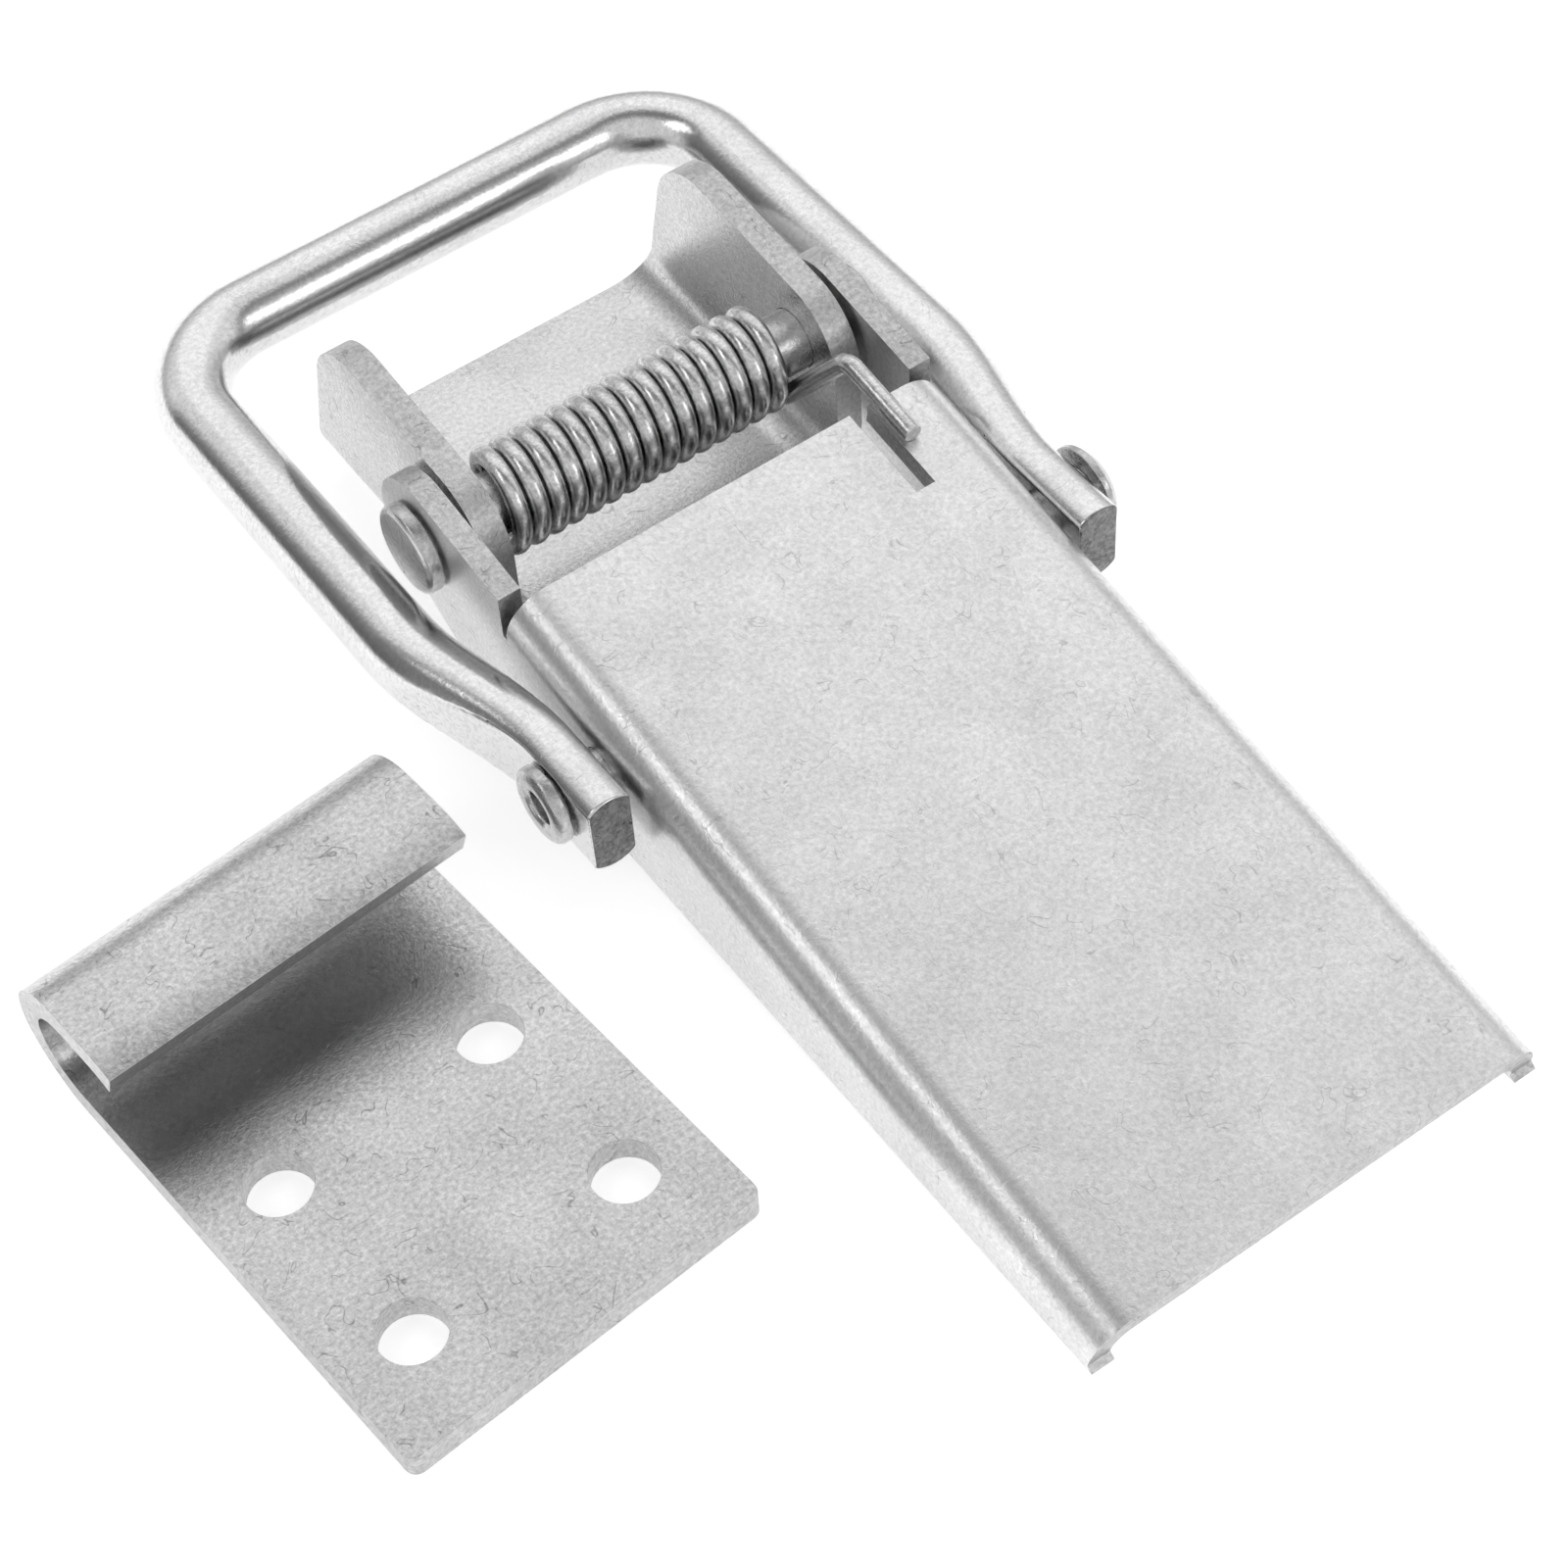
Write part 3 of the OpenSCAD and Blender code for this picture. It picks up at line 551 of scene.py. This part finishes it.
def on_plate(y):
    """Where the middle of the wire is when it lies on the plate beside the slot."""
    return Vector((SLOT_X + SLOT_W / 2 + WIRE_GAP + WIRE_R, y, plate_top(y) + (WIRE_GAP + WIRE_R) / math.cos(SLOPE)))


knee, tip = on_plate(KNEE_Y), on_plate(LEG_TIP_Y)
START, END = math.radians(235), touching(knee.yz, COIL_R, 1)
TURNS = FULL_TURNS + (START - END) / (2 * math.pi)
bm = bmesh.new()
spot = Matrix.Translation(Vector((COIL_LEFT, 0, 0)) + around(START) * COIL_R)
ring, first = ring_of_edges(bm, spot @ Matrix.Rotation(START, 4, "X"), WIRE_R, WIRE_SIDES)
steps = round(TURNS * STEPS_PER_TURN)
turned = bmesh.ops.spin(bm, geom=ring + first, cent=(0, 0, 0), axis=(1, 0, 0), dvec=(PITCH * TURNS / steps, 0, 0),
                        angle=-2 * math.pi * TURNS, steps=steps)
last = [e for e in turned["geom_last"] if isinstance(e, bmesh.types.BMEdge)]
print("coil of", round(TURNS, 2), "turns")

# %% [markdown]
# From the coil's ends the circle follows straight lines with round corners into the two legs. One lies in the bend of
# the base, the other climbs over the lever's edge and lies on the plate.

# %% Spring: the legs
LEG_BEND, TAKE_OFF, FOOT = 2.0, 0.4, 4.0


def middle(edges):
    """Middle of a ring of edges."""
    points = ends_of(edges)
    return sum((v.co for v in points), Vector()) / len(points)


def follow(bm, edges, radius, *points):
    """Sweeps a ring of edges along straight lines, with a round bend at each point but the last."""
    here = middle(edges)
    for corner, beyond in zip(points, points[1:]):
        come, go = (corner - here).normalized(), (beyond - corner).normalized()
        angle = come.angle(go)
        edges = pushed(bm, edges, corner - come * radius * math.tan(angle / 2) - here)
        inwards = (go - come * come.dot(go)).normalized()
        edges = swept(bm, edges, middle(edges) + inwards * radius, come.cross(go), math.degrees(angle), steps=12)
        here = middle(edges)
    return pushed(bm, edges, points[-1] - here)


leaves = middle(last) + around(END - math.pi / 2) * TAKE_OFF
upper_end = follow(bm, last, LEG_BEND, leaves, knee, tip)
in_bend = BASE_R - math.sqrt((BASE_R - BASE_T - WIRE_GAP - WIRE_R) ** 2 - (-COIL_LEFT - flat_x) ** 2)
begin, down = middle(first), around(START + math.pi / 2)
ankle = begin + down * (GROUND + in_bend - begin.z) / down.z
lower_end = follow(bm, first, LEG_BEND, ankle, ankle + Vector((0, FOOT, 0)))
for end in (upper_end, lower_end):
    bmesh.ops.edgeloop_fill(bm, edges=end)
bmesh.ops.remove_doubles(bm, verts=bm.verts, dist=MERGE)
bmesh.ops.recalc_face_normals(bm, faces=bm.faces)
spring = piece(bm, "spring_coiled", spring_wire, edge=0.12, sharp=50)
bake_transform(spring)
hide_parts("torsion_spring")

# %% [markdown]
# The bail is an 8 mm rod bent to a loop. A curve with a round bevel would give the loop, but not its forged ends, so a
# circle is swept instead: half of the loop, from the middle of the crossbar, round the corner and down the leg.

# %% Bail: the rod
ROD_R, REACH, CORNER_R, ROD_SIDES, ROD_GAP = 4.0, 72.0, 11.0, 48, 0.8
OFFSET_END = 25.0
BAIL_X = HEAD_X + HEAD_H + ROD_GAP + ROD_R
bm = bmesh.new()
edges = ring_of_edges(bm, Matrix.Translation((0, REACH, 0)) @ sideways, ROD_R, ROD_SIDES)[1]
edges = follow(bm, edges, CORNER_R, Vector((BAIL_X, REACH, 0)), Vector((BAIL_X, OFFSET_END, 0)))
print("bail's leg at x =", round(BAIL_X, 2))

# %% [markdown]
# Near its end the rod is set inwards and forged flat: each ring of the section is pressed between two jaws, so its
# sides become flat and its height grows a little. The rod was sheared off at the end, which is dull and darker than the
# plating. The half is mirrored and tipped a little, as the bail hangs in its rivets.

# %% Bail: the forged ends
FLAT_H, FLAT_BACK, FLAT_FRONT, RINGS = 9.4, 6.5, 3.0, 22
FLAT_X = LEVER_W / 2 + BAIL_GAP + FLAT_T / 2
DIP = math.radians(0.7)


def share(y):
    """How round the rod still is at a place along the leg: 0 is forged flat, 1 is round."""
    t = max(0.0, min(1.0, (y - FLAT_FRONT) / (OFFSET_END - FLAT_FRONT)))
    return t * t * (3 - 2 * t)


centre = middle(edges)
turn_of = {v: math.atan2(v.co.z, v.co.x - centre.x) for e in edges for v in e.verts}
stations = [OFFSET_END + (FLAT_FRONT - OFFSET_END) * (i + 1) / RINGS for i in range(RINGS)] + [-FLAT_BACK]
for y in stations:
    s = share(y)
    x = FLAT_X + (BAIL_X - FLAT_X) * s
    half_t = FLAT_T / 2 + (ROD_R - FLAT_T / 2) * s
    half_h = FLAT_H / 2 + (ROD_R - FLAT_H / 2) * s
    grown = bmesh.ops.extrude_edge_only(bm, edges=edges)["geom"]
    next_turn = {}
    for v in [v for v in grown if isinstance(v, bmesh.types.BMVert)]:
        a = next(turn_of[e.other_vert(v)] for e in v.link_edges if e.other_vert(v) in turn_of)
        next_turn[v] = a
        v.co = (x + max(-half_t, min(half_t, ROD_R * math.cos(a))), y, half_h * math.sin(a))
    edges = [e for e in grown if isinstance(e, bmesh.types.BMEdge) and all(v in next_turn for v in e.verts)]
    turn_of = next_turn
for face in bmesh.ops.edgeloop_fill(bm, edges=edges)["faces"]:
    face.material_index = 1
mirrored(bm)
bmesh.ops.remove_doubles(bm, verts=bm.verts, dist=MERGE)
bmesh.ops.recalc_face_normals(bm, faces=bm.faces)
bmesh.ops.rotate(bm, verts=bm.verts, cent=(0, 0, 0), matrix=Matrix.Rotation(-DIP, 3, "X"))
bail = piece(bm, "bail_forged", bail_zinc, at=RIVET, edge=0.3, sharp=28)
bail.data.materials.append(sheared_end)
seat(bail, "bail", "bail")

# %% [markdown]
# The keeper is a plate with four screw holes and a hook for the bail's crossbar. It is made as the lever is: the plate
# is drawn flat, its far edge is spun half a turn into the hook, pushed back over the plate and spun a little further
# into the drooping lip. It lies by itself, turned by a few degrees.

# %% Keeper
KEEPER_W, KEEPER_T, KEEPER_FLAT, KEEPER_CORNER, KEEPER_EDGE = 38.6, 3.0, 48.5, 1.2, 0.6
HOOK_R, LIP_FLAT, LIP_R, LIP_DROOP = 8.0, 4.0, 13.0, 20
KEEPER_PLACE, KEEPER_TURN = Vector((-56.127, -36.6, 0.0)), math.radians(5)
KEEPER_SCREWS = [(x, y) for x in (-11.7, 11.7) for y in (9.8, 29.2)]
across, half_w = Vector((1, 0, 0)), KEEPER_W / 2
bm = bmesh.new()
pen = Pen(bm, "XY", 0.0, (half_w, KEEPER_FLAT))
pen.line((-half_w, KEEPER_FLAT), (-half_w, KEEPER_CORNER))
pen.arc((-half_w + KEEPER_CORNER, KEEPER_CORNER), 90, steps=6)
pen.line((half_w - KEEPER_CORNER, 0))
pen.arc((half_w - KEEPER_CORNER, KEEPER_CORNER), 90, steps=6)
pen.close()
far_edge = [e for e in bm.edges if all(abs(v.co.y - KEEPER_FLAT) < MERGE for v in e.verts)]
for x, y in KEEPER_SCREWS:
    ring_of_edges(bm, Matrix.Translation((x, y, 0)), SCREW_HOLE_R)
bmesh.ops.triangle_fill(bm, edges=bm.edges[:], use_beauty=True)
lip = swept(bm, far_edge, Vector((0, KEEPER_FLAT, HOOK_R)), across, 180, steps=28)
lip = pushed(bm, lip, Vector((0, -LIP_FLAT, 0)))
swept(bm, lip, Vector((0, KEEPER_FLAT - LIP_FLAT, 2 * HOOK_R - LIP_R)), across, LIP_DROOP, steps=6)
bmesh.ops.recalc_face_normals(bm, faces=bm.faces)
plate = [f for f in bm.faces if all(abs(v.co.z) < MERGE for v in f.verts)]
if plate[0].normal.z > 0:
    bmesh.ops.reverse_faces(bm, faces=bm.faces)
bmesh.ops.rotate(bm, verts=bm.verts, cent=(0, 0, 0), matrix=Matrix.Rotation(KEEPER_TURN, 3, "Z"))
keeper = piece(bm, "keeper_rolled", keeper_zinc, at=KEEPER_PLACE, sheet=KEEPER_T, edge=KEEPER_EDGE)
seat(keeper, "base", "keeper")

# %% [markdown]
# The latch lies on a table of white paper. A plain diffuse floor would come out grey beside bright metal, and more
# light would burn out the zinc. So the paper glows a little for the camera and in the metal, and its diffuse part keeps
# the soft shadow. Under the latch it is white, and further out a painted shade makes its colour and glow greyer.

# %% Table
TABLE_SIZE, TABLE_DROP = 3.0, 0.0002
WHITE_TO, GREY_FROM = 0.15, 0.45             # metres from the latch
GLOW_NEAR, GLOW_FAR = 0.56, 0.36
SMOOTH = {"interpolation_type": "SMOOTHSTEP"}

scene.view_settings.view_transform = "Standard"
bm = bmesh.new()
bmesh.ops.create_grid(bm, x_segments=1, y_segments=1, size=TABLE_SIZE)
bmesh.ops.translate(bm, verts=bm.verts, vec=(0, 0, -TABLE_DROP))
table_mesh = bpy.data.meshes.new("table")
bm.to_mesh(table_mesh)
bm.free()
table = bpy.data.objects.new("table", table_mesh)
scene.collection.objects.link(table)

paper = bpy.data.materials.new("white_paper")
paper.use_nodes = True
tree = paper.node_tree
tree.nodes.clear()
rays = add(tree, "ShaderNodeLightPath").outputs
seen = add(tree, "ShaderNodeMath", {"operation": "MAXIMUM"}, _0=rays["Is Camera Ray"], _1=rays["Is Glossy Ray"])
seen = add(tree, "ShaderNodeMath", {"operation": "MAXIMUM"}, _0=seen, _1=rays["Is Transmission Ray"])
place = add(tree, "ShaderNodeTexCoord").outputs["Object"]
away = add(tree, "ShaderNodeVectorMath", {"operation": "LENGTH"}, _0=place).outputs["Value"]
# Painted shade: further from the latch the paper's colour and its glow are made darker, as if less light reached it.
painted_falloff = add(tree, "ShaderNodeMapRange", SMOOTH, _0=away, _1=WHITE_TO, _2=GREY_FROM)
level = add(tree, "ShaderNodeMapRange", _0=painted_falloff, _1=0.0, _2=1.0, _3=GLOW_NEAR, _4=GLOW_FAR)
glow = add(tree, "ShaderNodeMath", {"operation": "MULTIPLY"}, _0=seen, _1=level)
shine = add(tree, "ShaderNodeEmission", Color=(1, 1, 1, 1), Strength=glow)
# Painted shade: the paper's colour goes from #F4F4F4 near the latch to #D8D8D8 further out.
grey = add(tree, "ShaderNodeMix", {"data_type": "RGBA"}, _0=painted_falloff, _6=linear("#F4F4F4"), _7=linear("#D8D8D8"))
matt = add(tree, "ShaderNodeBsdfDiffuse", Color=grey.outputs[2])
both = add(tree, "ShaderNodeAddShader", _0=matt, _1=shine)
add(tree, "ShaderNodeOutputMaterial", Surface=both)
table_mesh.materials.append(paper)
print("table of", 2 * TABLE_SIZE, "m")

# %% [markdown]
# Three soft boxes stand on the left, on the right and at the far side. Point lamps would give hard spots on metal,
# while a box gives a broad, even reflection. Round rods and bends mirror all three at once, which gives them their
# bright bands.

# %% Soft boxes
def soft_box(name, direction, distance, size, watts):
    """A rectangular lamp in a direction from the latch, which it faces; lengths in metres."""
    lamp = bpy.data.lights.new(name, "AREA")
    lamp.shape, lamp.size, lamp.size_y, lamp.energy = "RECTANGLE", size[0], size[1], watts
    made = bpy.data.objects.new(name, lamp)
    scene.collection.objects.link(made)
    outwards = Vector(direction).normalized()
    level = Vector((0, 0, 1)).cross(outwards).normalized()
    turn = Matrix((level, outwards.cross(level), outwards)).transposed()
    made.matrix_world = Matrix.Translation(outwards * distance) @ turn.to_4x4()
    print(name, watts, "W")


soft_box("left_box", direction=(-0.60, 0.25, 0.76), distance=1.0, size=(0.36, 0.30), watts=0.75)
soft_box("right_box", direction=(0.333, -0.764, 0.55), distance=1.0, size=(0.45, 0.38), watts=0.7)
soft_box("far_box", direction=(0.36, 0.57, 0.74), distance=1.4, size=(1.6, 0.9), watts=1.2)

# %% [markdown]
# Metal shows what stands around it, so the room matters as much as the lamps. One even grey would make the zinc look
# like plastic. So the room is planned from the camera's place: pale on the far side, where the flat faces mirror it, a
# dark gap overhead, and half-light behind the camera. The pale side is a little darker low down, behind the table.

# %% Room
FAR_SIDE, NEAR_SIDE = (0.70, 0.71, 0.0), (-0.54, -0.84, 0.0)
FAR_LIGHT, GAP_LIGHT, NEAR_LIGHT, LOW_SHARE = 0.88, 0.21, 0.55, 0.6
FAR_RISE, NEAR_RISE, LOW_RISE = (0.02, 0.16), (0.1, 0.45), (0.05, 0.5)     # where each of them fades in

world = bpy.data.worlds.new("studio")
scene.world = world
world.use_nodes = True
tree = world.node_tree
tree.nodes.clear()
way = add(tree, "ShaderNodeTexCoord").outputs["Generated"]
ahead, behind = (add(tree, "ShaderNodeVectorMath", {"operation": "DOT_PRODUCT"}, _0=way, _1=to).outputs["Value"]
                 for to in (FAR_SIDE, NEAR_SIDE))
far = add(tree, "ShaderNodeMapRange", SMOOTH, _0=ahead, _1=FAR_RISE[0], _2=FAR_RISE[1], _3=GAP_LIGHT, _4=FAR_LIGHT)
near = add(tree, "ShaderNodeMapRange", SMOOTH, _0=behind, _1=NEAR_RISE[0], _2=NEAR_RISE[1], _3=0.0, _4=NEAR_LIGHT)
height = add(tree, "ShaderNodeSeparateXYZ", _0=way).outputs["Z"]
low = add(tree, "ShaderNodeMapRange", SMOOTH, _0=height, _1=LOW_RISE[0], _2=LOW_RISE[1], _3=LOW_SHARE, _4=1.0)
shade = add(tree, "ShaderNodeMath", {"operation": "MULTIPLY_ADD"}, _0=far, _1=low, _2=near)
sky = add(tree, "ShaderNodeBackground", Color=(1, 1, 1, 1), Strength=shade)
add(tree, "ShaderNodeOutputWorld", Surface=sky)
print("room from", GAP_LIGHT, "to", FAR_LIGHT)
